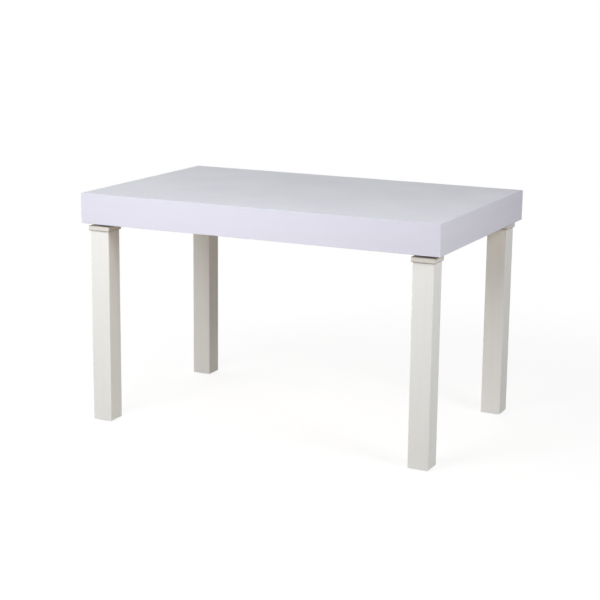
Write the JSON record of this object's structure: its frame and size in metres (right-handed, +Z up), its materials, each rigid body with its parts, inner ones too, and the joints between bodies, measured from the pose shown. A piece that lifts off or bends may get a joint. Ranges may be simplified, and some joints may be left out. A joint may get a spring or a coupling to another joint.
{
  "type": "parsons dining table",
  "caption": "Rectangular white dining table with a thick hollow-core top on square cream legs, each with a low collar, a screw-on leg plate and a levelling foot.",
  "frame": {"origin": "on the floor, under the middle of the top", "axes": "+X along the table's length, +Z up through the top; the front is on the -Y side"},
  "size_m": [1.2, 0.75, 0.74],
  "materials": {
    "top_laminate": "fibreboard faced with white melamine, satin",
    "backing_board": "hardboard, unfinished",
    "edge_strip": "white edge strip, satin",
    "frame_timber": "planed softwood, unfinished",
    "core_paper": "brown kraft paper",
    "dowel_beech": "beech, unfinished",
    "plate_steel": "bright zinc plate",
    "fastener_steel": "bright zinc plate",
    "leg_lacquer": "ivory lacquer, satin",
    "insert_brass": "turned brass",
    "pad_nylon": "natural nylon"
  },
  "bodies": {
    "table": {"top_panel": "top_laminate", "bottom_panel": "backing_board", "front_edge_band": "edge_strip", "rear_edge_band": "edge_strip", "left_edge_band": "edge_strip", "right_edge_band": "edge_strip", "front_rail": "frame_timber", "rear_rail": "frame_timber", "left_rail": "frame_timber", "right_rail": "frame_timber", "cross_rib_1": "frame_timber", "cross_rib_2": "frame_timber", "core_sheet_1": "core_paper", "core_sheet_2": "core_paper", "core_sheet_3": "core_paper", "frame_dowels": "dowel_beech", "collar_dowels": "dowel_beech", "plate_screws": "fastener_steel", "corner_block_front_left": "frame_timber", "corner_block_front_right": "frame_timber", "corner_block_rear_left": "frame_timber", "corner_block_rear_right": "frame_timber", "leg_plate_front_left": "plate_steel", "leg_plate_front_right": "plate_steel", "leg_plate_rear_left": "plate_steel", "leg_plate_rear_right": "plate_steel", "hanger_bolt_front_left": "fastener_steel", "hanger_bolt_front_right": "fastener_steel", "hanger_bolt_rear_left": "fastener_steel", "hanger_bolt_rear_right": "fastener_steel", "leg_collar_front_left": "leg_lacquer", "leg_collar_front_right": "leg_lacquer", "leg_collar_rear_left": "leg_lacquer", "leg_collar_rear_right": "leg_lacquer", "leg_front_left": "leg_lacquer", "leg_front_right": "leg_lacquer", "leg_rear_left": "leg_lacquer", "leg_rear_right": "leg_lacquer", "foot_insert_front_left": "insert_brass", "foot_insert_front_right": "insert_brass", "foot_insert_rear_left": "insert_brass", "foot_insert_rear_right": "insert_brass"},
    "leveller_front_left": {"leveller_stud_front_left": "fastener_steel", "leveller_pad_front_left": "pad_nylon"},
    "leveller_front_right": {"leveller_stud_front_right": "fastener_steel", "leveller_pad_front_right": "pad_nylon"},
    "leveller_rear_left": {"leveller_stud_rear_left": "fastener_steel", "leveller_pad_rear_left": "pad_nylon"},
    "leveller_rear_right": {"leveller_stud_rear_right": "fastener_steel", "leveller_pad_rear_right": "pad_nylon"}
  },
  "joints": [
    {"name": "leveller_front_left_height", "type": "slide", "parent": "table", "child": "leveller_front_left", "axis": [0, 0, -1], "range_m": [0, 0.01]},
    {"name": "leveller_front_right_height", "type": "slide", "parent": "table", "child": "leveller_front_right", "axis": [0, 0, -1], "range_m": [0, 0.01]},
    {"name": "leveller_rear_left_height", "type": "slide", "parent": "table", "child": "leveller_rear_left", "axis": [0, 0, -1], "range_m": [0, 0.01]},
    {"name": "leveller_rear_right_height", "type": "slide", "parent": "table", "child": "leveller_rear_right", "axis": [0, 0, -1], "range_m": [0, 0.01]}
  ]
}
